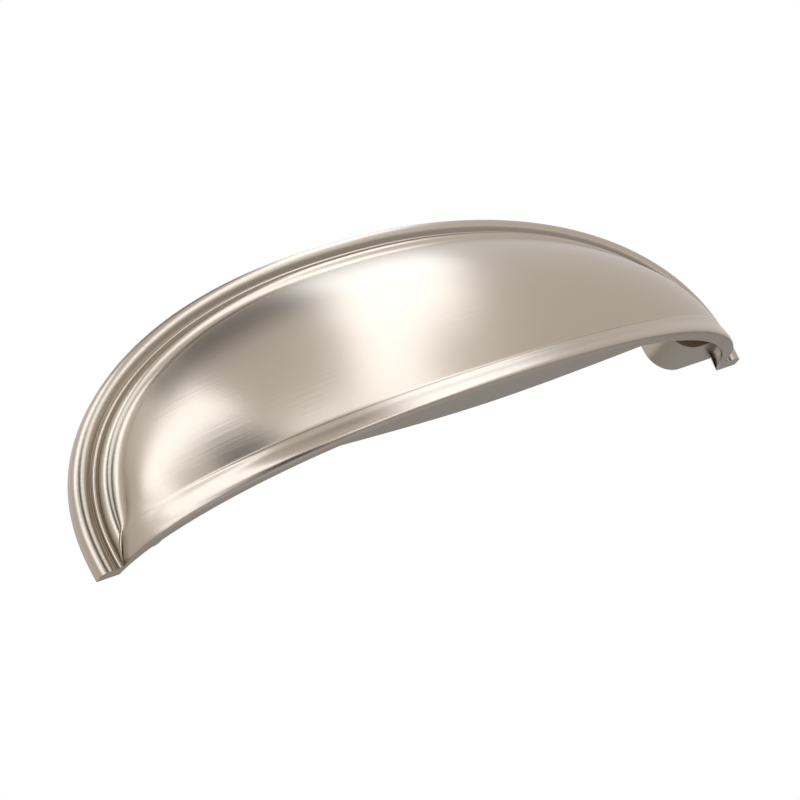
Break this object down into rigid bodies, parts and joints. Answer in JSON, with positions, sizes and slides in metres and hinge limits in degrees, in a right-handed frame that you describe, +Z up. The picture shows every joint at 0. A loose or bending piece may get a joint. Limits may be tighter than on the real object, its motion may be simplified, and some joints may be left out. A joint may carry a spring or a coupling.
{
  "type": "cup pull",
  "caption": "Half-moon cup pull cast in one piece, with a stepped border, a domed front, a flared lip and a tapped mounting pad inside each end.",
  "frame": {"origin": "midway between the two screw holes, on the back plane that lies against the drawer front", "axes": "+X along the pull, +Y into the drawer front, +Z up; the cup stands out towards -Y and opens downwards"},
  "size_m": [0.1132, 0.0276, 0.0376],
  "materials": {
    "satin_nickel": "satin nickel plate, brushed along the pull"
  },
  "bodies": {
    "root": {"cup_pull": "satin_nickel"}
  },
  "joints": []
}
